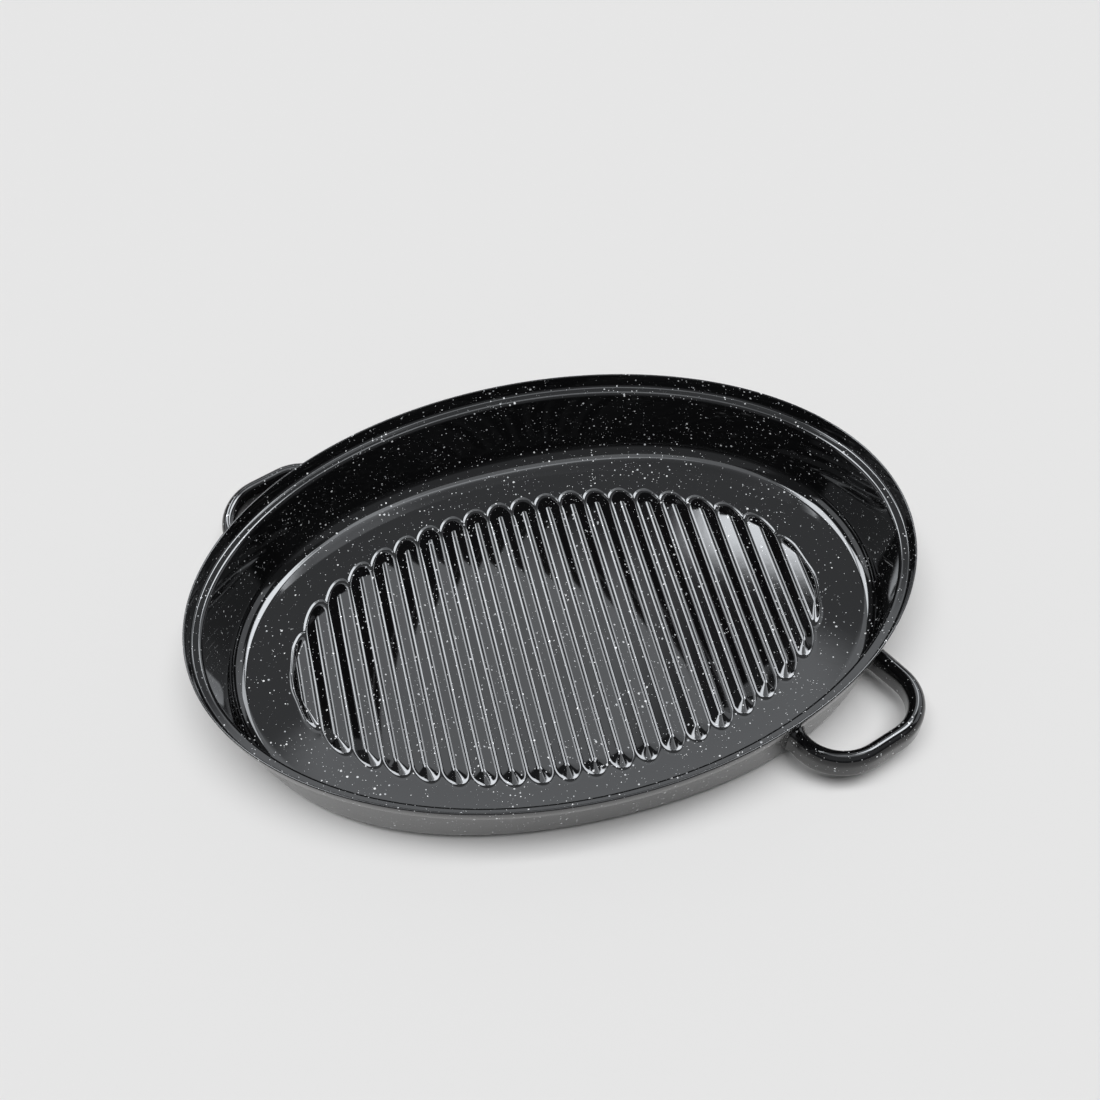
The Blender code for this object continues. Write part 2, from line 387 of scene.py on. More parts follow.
@dataclass
class PressedOval:
    """The oval of the pan and the side profile of its inner face."""

    rim_length: float = 0.400
    rim_width: float = 0.2784
    inner_depth: float = 0.0585
    sheet: float = 0.0012
    lip_height: float = 0.0087
    lip_flare: float = 0.0013
    ledge_width: float = 0.0057
    ledge_fall: float = 0.0004
    wall_draft: float = math.radians(11.7)
    lip_round: float = 0.0018
    ledge_round: float = 0.0026
    floor_round: float = 0.0100
    dish: float = math.radians(7.0)
    dish_run: float = 0.0210
    dish_fade: float = 0.0060
    shoulder: float = math.radians(12)
    shoulder_width: float = 0.0018
    bulge: float = 0.0014
    corner_bulge: float = 0.0040
    bulge_reach: float = 0.0125
    bulge_top: float = 0.048
    bulge_drop: float = 0.034
    edge_round: float = 0.00055
    edge_drop: float = 0.00014
    profile_steps: tuple[int, ...] = (6, 6, 12)
    segments: int = 432

    def side_profile(self) -> list[Vector]:
        """Inset and depth of the inner face, from the rim edge down to the dished margin."""
        lip = (self.sheet + self.lip_flare, self.lip_height)
        ledge = (lip[0] + self.ledge_width, self.lip_height + self.ledge_fall)
        turn = math.pi / 2 - self.wall_draft - self.dish
        depth = self.inner_depth - self.dish_height(0.0) - self.shoulder_height(self.shoulder_width)
        depth -= self.floor_round * math.tan(turn / 2) * math.sin(self.dish)
        foot = ledge[0] + (depth - ledge[1]) * math.tan(self.wall_draft)
        across = 2 * self.floor_round
        corners = (
            (self.sheet, self.edge_drop),
            lip,
            ledge,
            (foot, depth),
            (foot + across, depth + across * math.tan(self.dish)),
        )
        radii = (self.lip_round, self.ledge_round, self.floor_round)
        return rounded_line(corners, radii, self.profile_steps)[:-1]

    def dish_height(self, inset: float) -> float:
        """How much higher than the middle the dished margin lies, at an inset from its edge."""
        left = min(max(1 - (inset - self.dish_run) / self.dish_fade, 0.0), 1.0)
        even = max(self.dish_run - inset, 0.0)
        return math.tan(self.dish) * (even + self.dish_fade * left**2 / 2)

    def shoulder_height(self, gap: float) -> float:
        """How much higher than the valleys the margin lies, at a gap from the ridges."""
        turn = math.tau * min(max(gap, 0.0) / self.shoulder_width, 1.0)
        return math.tan(self.shoulder) * self.shoulder_width * (turn - math.sin(turn)) / (2 * math.tau)

    def bulged(self, point: Vector, inset: float) -> Vector:
        """Where a point of the sheet lies once the low part of the wall bellies out.

        Args:
            point: The point of the plain oval shape.
            inset: How far it lies inside the edge of the margin, for points of the margin.

        Returns:
            The point moved outwards, most at the four shoulders of the oval.
        """
        turn = math.atan2(point.y / self.rim_width, point.x / self.rim_length)
        amount = self.bulge + self.corner_bulge * math.sin(2 * turn) ** 2
        amount *= eased((self.bulge_top - point.z) / self.bulge_drop) * eased(1 - inset / self.bulge_reach)
        return point + Vector((math.cos(turn), math.sin(turn), math.tan(self.dish))) * amount

    def half_sizes(self, inset: float) -> tuple[float, float]:
        """Half length and half width of the oval, moved in by the inset."""
        return self.rim_length / 2 - inset, self.rim_width / 2 - inset

    def foot_inset(self) -> float:
        """Inset of the wall's inner face, drawn straight on down to the level of the valleys."""
        ledge = self.sheet + self.lip_flare + self.ledge_width
        return ledge + (self.inner_depth - self.lip_height - self.ledge_fall) * math.tan(self.wall_draft)

    def outer_inset(self, height: float) -> float:
        """Inset of the wall's outer face at a height above the resting plane, below the ledge."""
        inner = self.foot_inset() - (height - self.sheet) * math.tan(self.wall_draft)
        return inner - self.sheet / math.cos(self.wall_draft)

    def meet_wall(self, start: Vector, run: Vector, reach: float = 0.06) -> float:
        """How far a point travels along a direction until it meets the wall's outer face.

        Args:
            start: The point, outside the wall.
            run: The direction of travel, of length one.
            reach: The longest way tried.

        Returns:
            The distance travelled.
        """

        def outside(way: float) -> bool:
            """Whether the point is still outside the wall, whose own bulge is taken off first."""
            spot = start + run * way
            plain = spot * 2 - self.bulged(spot, 0.0)
            half_length, half_width = self.half_sizes(self.outer_inset(plain.z))
            return (plain.x / half_length) ** 2 + (plain.y / half_width) ** 2 > 1

        return farthest(outside, reach, halvings=40)

    def ring(self, inset: float, count: int) -> list[Vector]:
        """Points of the oval on the floor plane, moved in by the inset.

        Args:
            inset: How far the oval lies inside the rim.
            count: The number of points.

        Returns:
            The points, counter-clockwise from the right end.
        """
        half_length, half_width = self.half_sizes(inset)
        points = []
        for turn in (math.tau * k / count for k in range(count)):
            points.append(Vector((half_length * math.cos(turn), half_width * math.sin(turn), self.sheet)))
        return points


@dataclass
class RidgedFloor:
    """The pressed floor: touching raised ridges with rounded ends in a dished oval margin."""

    oval: PressedOval
    end_margin: float = 0.0180
    side_margin: float = 0.0162
    pitch: float = 0.0148
    flank: float = math.radians(28.5)
    fillet: float = 0.0040
    end_length: float = 0.0110
    end_softness: float = 0.0060
    end_ridge_cut: float = 0.0080
    skew: float = -0.0165
    shift: float = 0.0004
    end_squeeze: float = 0.6
    end_steps: int = 26
    arc_steps: int = 6
    inset_reach: float = 0.06
    guide_insets: tuple[float, ...] = (0.002, 0.004, 0.006, 0.008, 0.010, 0.012, 0.014, 0.016, 0.018)
    guide_gaps: tuple[float, ...] = (0.0002, 0.00045, 0.0007, 0.00095, 0.0012, 0.0015, 0.0018, 0.0023)
    guide_gap_share: float = 0.93
    guide_clearance: float = 0.0028
    cusp_step: float = 0.0007
    cusp_steps: int = 8
    cusp_gaps: tuple[float, float] = (0.00002, 0.002)
    end_rows: tuple[float, ...] = (0.0, 0.0015, 0.003, 0.0045, 0.006, 0.008, 0.011)
    centres: list[float] = field(init=False)

    def __post_init__(self) -> None:
        """Spread the ridges evenly over the floor that the end margins leave."""
        room = self.oval.rim_length / 2 - self.floor_inset - self.end_margin
        count = 2 * int((2 * room / self.pitch - 1) / 2) + 1
        self.centres = [(k - (count - 1) / 2) * self.pitch for k in range(count)]

    @cached_property
    def edge_inset(self) -> float:
        """How far inside the rim the dished margin starts."""
        return self.oval.side_profile()[-1].x

    @cached_property
    def floor_inset(self) -> float:
        """How far inside the rim a flat margin would start, which the ridges are laid out from."""
        turn = math.pi / 2 - self.oval.wall_draft
        return self.oval.foot_inset() + self.oval.floor_round * math.tan(turn / 2)

    def arc_share(self) -> float:
        """Share of the half pitch that the crest round takes, and the valley round too."""
        return self.fillet * math.sin(self.flank) / (self.pitch / 2)

    def height(self, share: float) -> float:
        """Height of a ridge at a share of the half pitch away from its crest."""
        half, arc = self.pitch / 2, self.arc_share()
        cap = self.fillet * (1 - math.cos(self.flank))
        slope = (1 - 2 * arc) * half * math.tan(self.flank)
        if share <= arc:
            return 2 * cap + slope - self.fillet + math.sqrt(self.fillet**2 - (share * half) ** 2)
        if share <= 1 - arc:
            return cap + slope - (share - arc) * half * math.tan(self.flank)
        left = max(1 - share, 0.0) * half
        return self.fillet - math.sqrt(self.fillet**2 - left**2)

    def shares(self) -> list[float]:
        """Steps across half a ridge, even in angle along its two rounds."""
        half = self.pitch / 2
        turns = [self.flank * k / self.arc_steps for k in range(self.arc_steps + 1)]
        crest = [self.fillet * math.sin(turn) / half for turn in turns]
        return crest + [1 - share for share in reversed(crest)]

    def straight_end(self, x: float) -> float:
        """Half length of the straight part of the ridges at x.

        Args:
            x: The place across the ridges, before the field is turned.

        Returns:
            The half length, which the oval field sets and the outermost ridges fall short of.
        """
        field_half_width = self.oval.half_sizes(self.floor_inset + self.side_margin)[1]
        pitches = len(self.centres) / 2
        share = min(abs(x) / (pitches * self.pitch), 1.0)
        reach = field_half_width * math.sqrt(1 - share * share)
        reach -= self.end_ridge_cut * max(abs(x) / self.pitch - pitches + 1, 0.0) ** 0.5
        room = reach - self.end_length
        return (room + math.hypot(room, self.end_softness)) / 2

    def end_point(self, centre: float, side: int, share: float, angle: float) -> Vector:
        """A point of a ridge's rounded end, in polar steps about the end of its crest."""
        x = centre + share * math.cos(angle) * self.pitch / 2
        y = side * (self.straight_end(x) + share * math.sin(angle) * self.end_length)
        return self.field_point(x, y, share)

    def field_point(self, x: float, y: float, share: float) -> Vector:
        """A point of a ridge in the turned field, with its foot on the dished margin.

        Args:
            x: Its place across the ridges, squeezed past the outermost crests.
            y: Its place along the ridges.
            share: The share of the half pitch that it lies away from the crest.

        Returns:
            The point on the upper face of the sheet.
        """
        beyond = max(abs(x) - self.centres[-1], 0.0) * (1 - self.end_squeeze)
        x += self.shift + self.skew * y - math.copysign(beyond, x)
        foot = self.oval.dish_height(self.inset_at(x, y))
        height = foot + self.height(share) * (1 - foot / self.height(0.0))
        return Vector((x, y, self.oval.sheet + height))

    def inset_at(self, x: float, y: float) -> float:
        """How far a flat point lies inside the edge of the margin."""

        def within(inset: float) -> bool:
            """Whether the point lies within the oval that is moved in by the inset."""
            half_length, half_width = self.oval.half_sizes(self.edge_inset + inset)
            return (x / half_length) ** 2 + (y / half_width) ** 2 < 1

        return farthest(within, self.inset_reach)

    def stops(self, x: float) -> list[float]:
        """Steps along the straight part of a ridge at x, from its back end to its front end."""
        end = self.straight_end(x)
        stops = [end - back * min(end / (2 * self.end_rows[-1]), 1.0) for back in self.end_rows]
        return stops + [-stop for stop in reversed(stops)]

    def end_angles(self) -> list[float]:
        """The polar steps of a ridge's rounded end."""
        return [math.pi * k / self.end_steps for k in range(self.end_steps + 1)]

    def outline(self) -> list[Vector]:
        """The scalloped outline of all ridges, once round."""
        line = []
        for side in (1, -1):
            for centre in self.centres[::-side]:
                for angle in self.end_angles()[:-1]:
                    line.append(self.end_point(centre, side, 1.0, angle if side > 0 else math.pi - angle))
            x = -side * (self.centres[-1] + self.pitch / 2)
            line += [self.field_point(x, side * stop, 1.0) for stop in self.stops(x)[:-1]]
        return line

    def add_ridge(self, bm: bmesh.types.BMesh, centre: float) -> None:
        """Add one ridge: a straight part between two rounded ends.

        Args:
            bm: The mesh that gets the faces.
            centre: X of the ridge's crest.
        """
        shares, angles = self.shares(), self.end_angles()
        for way in (1, -1):
            rows = []
            for share in shares:
                x = centre + way * share * self.pitch / 2
                rows.append([(x, stop, share) for stop in self.stops(x)])
            for inner, outer in zip(rows, rows[1:]):
                for k in range(len(inner) - 1):
                    corners = (inner[k], outer[k], outer[k + 1], inner[k + 1])
                    bm.faces.new([bm.verts.new(self.field_point(*corner)) for corner in corners])
        for side in (1, -1):
            for low, high in zip(angles, angles[1:]):
                for inner, outer in zip(shares, shares[1:]):
                    corners = [(inner, low), (outer, low), (outer, high), (inner, high)]
                    if inner == 0.0:
                        corners.pop()
                    places = [self.end_point(centre, side, *corner) for corner in corners]
                    bm.faces.new([bm.verts.new(place) for place in places])

    def margin_height(self, point: Vector, gap: float) -> float:
        """Height of the margin over the valleys.

        Args:
            point: The flat point.
            gap: Its distance from the ridges.

        Returns:
            The height of the dish and of the shoulder round the ridges.
        """
        return self.oval.dish_height(self.inset_at(point.x, point.y)) + self.oval.shoulder_height(gap)

    def guides(self, border: list[Vector]) -> list[Vector]:
        """Points of the margin that its faces are drawn between.

        Args:
            border: The flat outline of the ridges.

        Returns:
            The flat points.
        """
        spots = [
            point.xy
            for inset in self.guide_insets
            for point in self.oval.ring(self.edge_inset + inset, self.oval.segments // 2)
        ]
        found = spots_between(spots, border, self.guide_clearance)
        normals = []
        for before, after in zip(border[-1:] + border[:-1], border[1:] + border[:1]):
            run = (after - before).normalized()
            normals.append(Vector((run.y, -run.x)))
        for reach in self.guide_gaps:
            spots = [point + normal * reach for point, normal in zip(border, normals)]
            found += spots_between(spots, border, self.guide_gap_share * reach)
        for side in (1, -1):
            for centre in self.centres[:-1]:
                cusp = self.end_point(centre, side, 1.0, 0.0).xy
                steps = range(1, self.cusp_steps + 1)
                spots = [cusp + Vector((0.0, side * self.cusp_step * k)) for k in steps]
                found += spots_between(spots, border, *self.cusp_gaps)
        return found

    def add_margin(self, bm: bmesh.types.BMesh) -> None:
        """Add the dished margin between the ridges and the start of the floor round."""
        border = [point.xy for point in self.outline()]
        edge = [point.xy for point in self.oval.ring(self.edge_inset, self.oval.segments)]
        flat = border + self.guides(border) + edge
        loop = [(k, (k + 1) % len(border)) for k in range(len(border))]
        points, _, faces, *_ = delaunay_2d_cdt(flat, loop, [], 0, SAME_POINT)
        rises = (self.margin_height(point, gap) for point, gap in zip(points, gaps(points, border)))
        heights = [self.oval.sheet + rise for rise in rises]
        middles = [sum((points[k] for k in face), Vector((0.0, 0.0))) / len(face) for face in faces]
        for face, gap in zip(faces, gaps(middles, border)):
            if gap > 0:
                bm.faces.new([bm.verts.new((*points[k], heights[k])) for k in face])

    def build(self, name: str) -> bpy.types.Object:
        """Lay out the floor. Ridges that end on an oval have no primitive, so this mesh is drawn
        point by point; the wall is then extruded from its edge.

        Args:
            name: The name of the new piece.

        Returns:
            The floor as an open sheet that faces up.
        """
        bm = bmesh.new()
        for centre in self.centres:
            self.add_ridge(bm, centre)
        self.add_margin(bm)
        bmesh.ops.remove_doubles(bm, verts=bm.verts, dist=WELD)
        bmesh.ops.recalc_face_normals(bm, faces=bm.faces)
        if sum(face.normal.z * face.calc_area() for face in bm.faces) < 0:
            bmesh.ops.reverse_faces(bm, faces=bm.faces)
        return link_piece(bm, name)


def gaps(points: Sequence[Vector], outline: Sequence[Vector]) -> np.ndarray:
    """Distances of flat points from a closed outline.

    Args:
        points: The points.
        outline: The outline's points in order.

    Returns:
        One distance for each point, negative inside the outline.
    """
    starts = np.array([tuple(point) for point in outline])
    runs = np.roll(starts, -1, axis=0) - starts
    ends = starts + runs
    result = []
    for first in range(0, len(points), POINTS_AT_ONCE):
        spots = np.array([tuple(point) for point in points[first : first + POINTS_AT_ONCE]])[:, None, :]
        share = ((spots - starts) * runs).sum(axis=2) / (runs**2).sum(axis=1)
        nearest = starts + np.clip(share, 0.0, 1.0)[..., None] * runs
        away = np.sqrt(((spots - nearest) ** 2).sum(axis=2)).min(axis=1)
        crossed = (starts[:, 1] > spots[..., 1]) != (ends[:, 1] > spots[..., 1])
        level = np.where(runs[:, 1] == 0.0, 1.0, runs[:, 1])
        cut = starts[:, 0] + (spots[..., 1] - starts[:, 1]) * runs[:, 0] / level
        held = (crossed & (cut > spots[..., 0])).sum(axis=1) % 2
        result.append(np.where(held == 1, -away, away))
    return np.concatenate(result)


def spots_between(
    spots: Sequence[Vector], outline: Sequence[Vector], least: float, most: float = math.inf
) -> list[Vector]:
    """The flat points that lie outside an outline.

    Args:
        spots: The points.
        outline: The outline's points in order.
        least: The smallest distance from the outline.
        most: The largest.

    Returns:
        The points whose distances lie between the two.
    """
    return [spot for spot, gap in zip(spots, gaps(spots, outline)) if least < gap < most]


@dataclass
class PanBody:
    """The pressed body of the pan, from its ridged floor up to the rounded rim edge."""

    oval: PressedOval
    floor: RidgedFloor
    finish: SpeckledEnamel
    name: str = "pan_body"
    clearance: float = 2e-6
    level_limit: float = 0.9
    rim_reach: float = 0.0004
    smooth_limit: float = math.radians(50)

    def build(self) -> bpy.types.Object:
        """Model the body as one sheet and dress it.

        Returns:
            The finished piece, which stands for the CAD node pan_shell.
        """
        piece = self.floor.build(self.name)
        self._raise_wall(piece)
        for vertex in piece.data.vertices:
            inset = self.floor.inset_at(vertex.co.x, vertex.co.y)
            vertex.co = self.oval.bulged(vertex.co, inset)
        thickness = self.oval.sheet - self.clearance
        apply_modifier(piece, "SOLIDIFY", thickness=thickness, offset=-1.0, use_even_offset=True)
        # The valleys rest on the ground, and nothing of the underside lies below it.
        for vertex in piece.data.vertices:
            vertex.co.z = max(vertex.co.z, 0.0)
        self._round_rim(piece)
        finish_shading(piece, self.smooth_limit)
        piece.data.materials.append(self.finish.build())
        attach(piece, BODY)
        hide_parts("pan_shell")
        return piece

    def _raise_wall(self, piece: bpy.types.Object) -> None:
        """Extrude the floor's edge up the side profile, ring by ring.

        Args:
            piece: The floor sheet.
        """
        make_active(piece)
        bpy.ops.object.mode_set(mode="EDIT")
        bpy.ops.mesh.select_mode(type="EDGE")
        bpy.ops.mesh.select_all(action="DESELECT")
        bpy.ops.mesh.select_non_manifold(
            extend=False, use_wire=False, use_boundary=True, use_multi_face=False,
            use_non_contiguous=False, use_verts=False,
        )
        line = self.oval.side_profile()[::-1]
        for here, after in zip(line, line[1:]):
            old, new = self.oval.half_sizes(here.x), self.oval.half_sizes(after.x)
            bpy.ops.mesh.extrude_edges_move(
                TRANSFORM_OT_translate={"value": (0.0, 0.0, here.y - after.y)}
            )
            bpy.ops.transform.resize(
                value=(new[0] / old[0], new[1] / old[1], 1.0), center_override=(0.0, 0.0, 0.0)
            )
        bpy.ops.object.mode_set(mode="OBJECT")

    def _round_rim(self, piece: bpy.types.Object) -> None:
        """Round the cut edge of the sheet along the rim, as the enamel does.

        Args:
            piece: The body with its sheet thickness.
        """
        make_active(piece)
        mesh = piece.data
        top = self.oval.inner_depth + self.oval.sheet - self.oval.edge_drop
        rim = [
            face for face in mesh.polygons
            if face.normal.z > self.level_limit
            and all(abs(mesh.vertices[corner].co.z - top) < self.rim_reach for corner in face.vertices)
        ]
        uses: dict[tuple[int, int], int] = {}
        for face in rim:
            for key in face.edge_keys:
                uses[key] = uses.get(key, 0) + 1
        bpy.ops.object.mode_set(mode="EDIT")
        bpy.ops.mesh.select_mode(type="EDGE")
        bpy.ops.mesh.select_all(action="DESELECT")
        bpy.ops.object.mode_set(mode="OBJECT")
        for edge in mesh.edges:
            edge.select = uses.get(edge.key, 0) == 1
        bpy.ops.object.mode_set(mode="EDIT")
        bpy.ops.mesh.bevel(offset=self.oval.edge_round, segments=4, profile=0.5)
        bpy.ops.object.mode_set(mode="OBJECT")


class HandleSide(Enum):
    """The two places of a handle, half a turn round the pan from each other."""

    FRONT_RIGHT = 0.0
    BACK_LEFT = math.pi


@dataclass
class BowHandle:
    """A pressed bow handle: an arched channel on a curved line, with two flared welded feet."""

    oval: PressedOval
    finish: SpeckledEnamel
    angle: float = math.radians(46.1)
    twist: float = math.radians(-13.2)
    lower_edge: float = 0.0145
    rise: float = 0.12
    root_half_span: float = 0.0340
    bar_half_span: float = 0.0360
    reach: float = 0.0273
    start: float = -0.0040
    corner_radius: float = 0.0257
    width: float = 0.0093
    height: float = 0.0162
    crown_height: float = 0.0065
    curl_round: float = 0.0026
    curl_turn: float = math.radians(62)
    sheet: float = 0.0014
    crown_steps: int = 20
    skirt_steps: int = 3
    curl_steps: int = 6
    corner_steps: int = 16
    bar_steps: int = 8
    # How far short of the wall each row of a foot ends, and how much wider than the bar it is.
    foot_rows: tuple[tuple[float, float], ...] = (
        (0.0032, 0.0001),
        (0.0016, 0.0004),
        (0.0007, 0.0009),
        (-0.0005, 0.0015),
    )
    lip_round: float = 0.00045
    lip_angle: float = math.radians(60)
    smooth_limit: float = math.radians(50)

    def middle_line(self) -> list[Vector]:
        """Middle line of the bow in its own plane: across the handle and out from the rim."""
        corners = (
            (-self.root_half_span, self.start),
            (-self.bar_half_span, self.reach),
            (self.bar_half_span, self.reach),
            (self.root_half_span, self.start),
        )
        steps = (self.corner_steps, self.corner_steps)
        line = rounded_line(corners, (self.corner_radius, self.corner_radius), steps)
        middle = len(line) // 2
        first, last = line[middle - 1], line[middle]
        bar = [first.lerp(last, k / self.bar_steps) for k in range(1, self.bar_steps)]
        return line[:middle] + bar + line[middle:]

    def section(self, grow: float) -> list[Vector]:
        """The outer line of the arched channel and its curled lower edges: sideways and up.

        Args:
            grow: How far the section stands outside its plain size, for the flared feet.

        Returns:
            The points of the line, with the crown's top at zero height.
        """
        half = self.width / 2 + grow
        bend = self.curl_round * math.sin(self.curl_turn) - self.height - grow
        line = []
        for k in range(self.curl_steps):
            turn = self.curl_turn * (1 - k / self.curl_steps)
            inward = self.curl_round * (1 - math.cos(turn))
            line.append(Vector((half - inward, bend - self.curl_round * math.sin(turn))))
        for k in range(self.skirt_steps):
            line.append(Vector((half, bend + (grow - self.crown_height - bend) * k / self.skirt_steps)))
        side = len(line)
        for k in range(self.crown_steps + 1):
            turn = math.pi * k / self.crown_steps
            line.append(
                Vector((half * math.cos(turn), grow - self.crown_height * (1 - math.sin(turn))))
            )
        return line + [Vector((-point.x, point.y)) for point in reversed(line[:side])]

    def placement(self) -> tuple[Vector, Vector, Vector]:
        """Root point on the rim and the across and outward directions of the right handle."""
        half_length, half_width = self.oval.half_sizes(0.0)
        cos, sin = math.cos(self.angle), math.sin(self.angle)
        normal = Vector((cos / half_length, -sin / half_width))
        turn = math.atan2(normal.y, normal.x) + self.twist
        outward = Vector((math.cos(turn), math.sin(turn), 0.0))
        return (
            Vector((half_length * cos, -half_width * sin, 0.0)),
            Vector((-outward.y, outward.x, 0.0)),
            outward,
        )

    def station(self, line: list[Vector], index: int, grow: float) -> list[Vector]:
        """The section set across the middle line at one of its points, in the CAD frame."""
        across = self.placement()[1:]
        run = (line[index + 1] - line[index - 1]).normalized()
        sideways = across[0] * -run.y + across[1] * run.x
        middle = self.middle(line[index])
        return [
            middle + sideways * drop.x + Vector((0.0, 0.0, drop.y)) for drop in self.section(grow)
        ]

    def middle(self, point: Vector) -> Vector:
        """The crown of the bow over a point of its middle line, in the CAD frame."""
        root, across, outward = self.placement()
        top = self.lower_edge + self.height + self.rise * point.y
        return root + across * point.x + outward * point.y + Vector((0.0, 0.0, top))

    def foot(self, line: list[Vector], index: int, end: int) -> list[list[Vector]]:
        """The rows of one flared foot, which runs straight on until it meets the pan wall.

        Args:
            line: The middle line.
            index: The last point before the straight leg.
            end: The point at the end of the leg.

        Returns:
            The rows, from the leg to the wall.
        """
        run = (self.middle(line[end]) - self.middle(line[index])).normalized()
        rows = []
        for back, grow in self.foot_rows:
            starts = self.station(line, index, grow)
            rows.append([start + run * (self.oval.meet_wall(start, run) - back) for start in starts])
        return rows

    def build(self, side: HandleSide, name: str, node: str) -> bpy.types.Object:
        """Model one handle and dress it.

        Args:
            side: The place of the handle.
            name: The name of the new piece.
            node: The CAD node that it stands for.

        Returns:
            The finished piece.
        """
        line = self.middle_line()
        last = len(line) - 1
        rows = self.foot(line, 1, 0)[::-1]
        rows += [self.station(line, index, 0.0) for index in range(1, last)]
        rows += self.foot(line, last - 1, last)
        bm = bmesh.new()
        verts = [[bm.verts.new(place) for place in row] for row in rows]
        for here, there in zip(verts, verts[1:]):
            for k in range(len(here) - 1):
                bm.faces.new((here[k], there[k], there[k + 1], here[k + 1]))
        bmesh.ops.recalc_face_normals(bm, faces=bm.faces)
        crown = max(bm.faces, key=lambda face: face.calc_center_median().z)
        if crown.normal.z < 0:
            bmesh.ops.reverse_faces(bm, faces=bm.faces)
        bmesh.ops.rotate(bm, verts=bm.verts, cent=(0, 0, 0), matrix=Matrix.Rotation(side.value, 3, "Z"))
        piece = link_piece(bm, name)
        apply_modifier(piece, "SOLIDIFY", thickness=self.sheet, offset=-1.0, use_even_offset=True)
        apply_modifier(
            piece, "BEVEL", width=self.lip_round, segments=3, limit_method="ANGLE", angle_limit=self.lip_angle
        )
        finish_shading(piece, self.smooth_limit)
        piece.data.materials.append(self.finish.build())
        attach(piece, BODY)
        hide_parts(node)
        return piece


@dataclass(frozen=True)
class SoftPanel:
    """A soft box of the studio, in degrees as seen from the pan: azimuth from +Y towards +X."""

    azimuth: float
    elevation: float
    half_width: float
    half_height: float
    edge: float
    strength: float


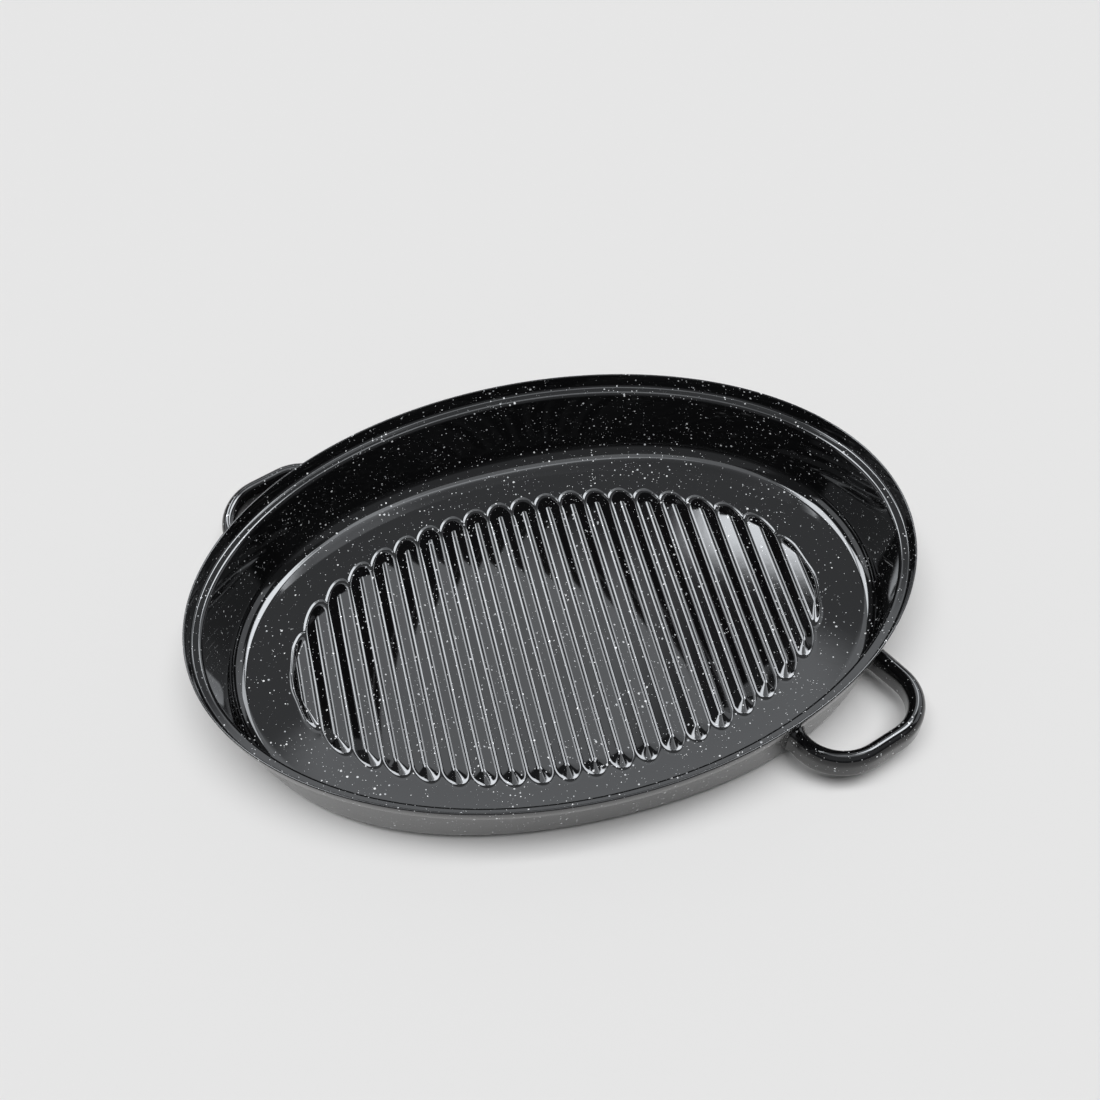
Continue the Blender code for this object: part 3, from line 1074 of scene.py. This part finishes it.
@dataclass
class Studio:
    """The pale floor and the soft studio light round the pan.

    The numbers of a panel are its azimuth, elevation, half width, half height, soft edge and
    strength. The panels are what the glossy enamel mirrors. The fill lights matt surfaces.
    """

    floor_colour: str = "#E6E6E6"
    floor_size: float = 12.0
    base: float = 0.15
    panels: tuple[SoftPanel, ...] = (
        SoftPanel(-33.5, 46.0, 12.5, 7.5, 2.5, 14.0),
        SoftPanel(-47.0, 64.0, 31.0, 8.0, 5.0, 15.0),
        SoftPanel(36.0, 45.0, 10.0, 8.0, 2.5, 8.5),
        SoftPanel(54.0, 64.0, 29.0, 8.0, 5.0, 17.0),
        SoftPanel(60.0, 77.0, 60.0, 4.0, 4.0, 2.5),
        SoftPanel(54.0, 30.0, 11.0, 17.0, 5.0, 1.75),
        SoftPanel(3.0, 37.5, 22.0, 14.5, 3.0, 1.95),
        SoftPanel(-72.0, 25.0, 25.0, 13.0, 4.0, 1.6),
        SoftPanel(85.0, 25.0, 20.0, 15.0, 4.0, 1.4),
        SoftPanel(5.0, 61.0, 14.0, 10.0, 5.0, 0.5),
        SoftPanel(0.0, 84.0, 180.0, 10.0, 4.0, 2.0),
        SoftPanel(180.0, 45.0, 60.0, 25.0, 10.0, 0.3),
    )
    fill_base: float = 0.12
    fill_panels: tuple[SoftPanel, ...] = (SoftPanel(188.0, 76.0, 90.0, 12.0, 6.0, 9.25),)
    backdrop: float = 0.79
    panel_colour: str = "#F6FAFF"

    def build(self) -> None:
        """Set up the floor and the world light."""
        self._floor()
        self._world()

    def _floor(self) -> None:
        """Lay the floor under the pan."""
        deselect_all()
        bpy.ops.mesh.primitive_plane_add(size=self.floor_size, location=(0.0, 0.0, 0.0))
        floor = bpy.context.object
        floor.name = "studio_floor"
        material = bpy.data.materials.new("matt_studio_paper")
        material.use_nodes = True
        shader = material.node_tree.nodes["Principled BSDF"]
        shader.inputs["Base Color"].default_value = linear(self.floor_colour)
        shader.inputs["Roughness"].default_value = 1.0
        shader.inputs["Specular IOR Level"].default_value = 0.0
        floor.data.materials.append(material)

    def _world(self) -> None:
        """Light the set from a dim dome with soft panels in it."""
        world = bpy.data.worlds.new("studio_light")
        bpy.context.scene.world = world
        world.use_nodes = True
        tree = world.node_tree
        way = add_node(tree, "ShaderNodeTexCoord").outputs["Generated"]
        axes = add_node(tree, "ShaderNodeSeparateXYZ", {}, {0: way})
        turn = add_math(tree, "ARCTAN2", axes.outputs["X"], axes.outputs["Y"])
        lift = add_math(tree, "ARCSINE", axes.outputs["Z"], 0.0)
        # Matt surfaces get even light at a plain level; the glass skin mirrors the soft boxes.
        path = add_node(tree, "ShaderNodeLightPath")
        fill = self._dome(tree, self.fill_base, self.fill_panels, (turn, lift))
        mirrored = self._dome(tree, self.base, self.panels, (turn, lift))
        strength: object = fill
        for ray, light in (("Is Glossy Ray", mirrored), ("Is Camera Ray", self.backdrop)):
            strength = add_node(
                tree, "ShaderNodeMix", {}, {"Factor": path.outputs[ray], "A": strength, "B": light}
            ).outputs["Result"]
        tone = add_mix(tree, path.outputs["Is Glossy Ray"], linear("#FFFFFF"), linear(self.panel_colour))
        background = tree.nodes["Background"]
        tree.links.new(tone, background.inputs["Color"])
        tree.links.new(strength, background.inputs["Strength"])

    def _dome(
        self, tree: bpy.types.NodeTree, base: float, panels: Sequence[SoftPanel], way: tuple[object, object]
    ) -> bpy.types.NodeSocket:
        """The light of a dim dome with its panels.

        Args:
            tree: The world's node tree.
            base: The light of the dome between the panels.
            panels: The panels.
            way: The sockets of the azimuth and the elevation in radians.

        Returns:
            The socket of the light from each direction.
        """
        total: object = base
        for panel in panels:
            total = add_math(tree, "ADD", total, self._panel(tree, panel, way))
        return total

    def _panel(
        self, tree: bpy.types.NodeTree, panel: SoftPanel, way: tuple[object, object]
    ) -> bpy.types.NodeSocket:
        """The light of one panel over the dome.

        Args:
            tree: The world's node tree.
            panel: The panel.
            way: The sockets of the azimuth and the elevation in radians.

        Returns:
            The socket of the light that the panel adds.
        """
        result: object = panel.strength
        middles = (panel.azimuth, panel.elevation)
        for value, middle, half in zip(way, middles, (panel.half_width, panel.half_height)):
            off = add_math(tree, "SUBTRACT", value, math.radians(middle))
            wrapped = add_node(
                tree, "ShaderNodeMath", {"operation": "WRAP"}, {0: off, 1: math.pi, 2: -math.pi}
            )
            away = add_math(tree, "ABSOLUTE", wrapped.outputs[0], 0.0)
            mask = add_node(
                tree,
                "ShaderNodeMapRange",
                {"interpolation_type": "SMOOTHSTEP"},
                {
                    "Value": away,
                    "From Min": math.radians(half + panel.edge / 2),
                    "From Max": math.radians(half - panel.edge / 2),
                },
            )
            result = add_math(tree, "MULTIPLY", result, mask.outputs[0])
        return result


@dataclass
class PhotoCamera:
    """The camera of the photograph, found by fitting the rim, the ledge and the ridges."""

    frame_pixels: float = 1100.0
    focal_pixels: float = 1508.0
    azimuth: float = math.radians(8.593)
    tilt: float = math.radians(54.28)
    roll: float = math.radians(-4.498)
    distance: float = 0.8136
    aim_pixel: tuple[float, float] = (552.1, 571.9)
    aim: tuple[float, float, float] = (0.0, 0.0, 0.0597)

    def build(self) -> bpy.types.Object:
        """Place the camera so that the aim point falls on its pixel of the photograph.

        Returns:
            The camera, which is made the scene's camera.
        """
        cos, sin = math.cos(self.tilt), math.sin(self.tilt)
        forward = Vector((math.sin(self.azimuth) * cos, math.cos(self.azimuth) * cos, -sin))
        level = Vector((math.cos(self.azimuth), -math.sin(self.azimuth), 0.0))
        upright = level.cross(forward)
        right = level * math.cos(self.roll) + upright * math.sin(self.roll)
        up = upright * math.cos(self.roll) - level * math.sin(self.roll)
        middle = self.frame_pixels / 2
        ray = forward + right * ((self.aim_pixel[0] - middle) / self.focal_pixels)
        ray -= up * ((self.aim_pixel[1] - middle) / self.focal_pixels)
        place = Vector(self.aim) - ray.normalized() * self.distance
        data = bpy.data.cameras.new("photo_camera")
        data.sensor_fit = "HORIZONTAL"
        data.sensor_width = 36.0
        data.lens = data.sensor_width * self.focal_pixels / self.frame_pixels
        data.clip_start = 0.01
        camera = bpy.data.objects.new("photo_camera", data)
        turn = Matrix((right, up, -forward)).transposed()
        camera.matrix_world = Matrix.Translation(place) @ turn.to_4x4()
        bpy.context.scene.collection.objects.link(camera)
        bpy.context.scene.camera = camera
        return camera


def main() -> None:
    """Load the frame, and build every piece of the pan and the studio."""
    logging.basicConfig(level=logging.INFO, format="%(message)s")
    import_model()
    deselect_all()
    oval = PressedOval()
    body = PanBody(oval, RidgedFloor(oval), SpeckledEnamel("speckled_vitreous_enamel_body")).build()
    log.info("%s: %d faces", body.name, len(body.data.polygons))
    handle = BowHandle(oval, SpeckledEnamel("speckled_vitreous_enamel_handle"))
    for side, name, node in (
        (HandleSide.FRONT_RIGHT, "bow_handle_right", "handle_right"),
        (HandleSide.BACK_LEFT, "bow_handle_left", "handle_left"),
    ):
        piece = handle.build(side, name, node)
        log.info("%s: %d faces", piece.name, len(piece.data.polygons))
    Studio().build()
    PhotoCamera().build()
    bpy.context.scene.view_settings.view_transform = "Standard"


if __name__ == "__main__":
    main()
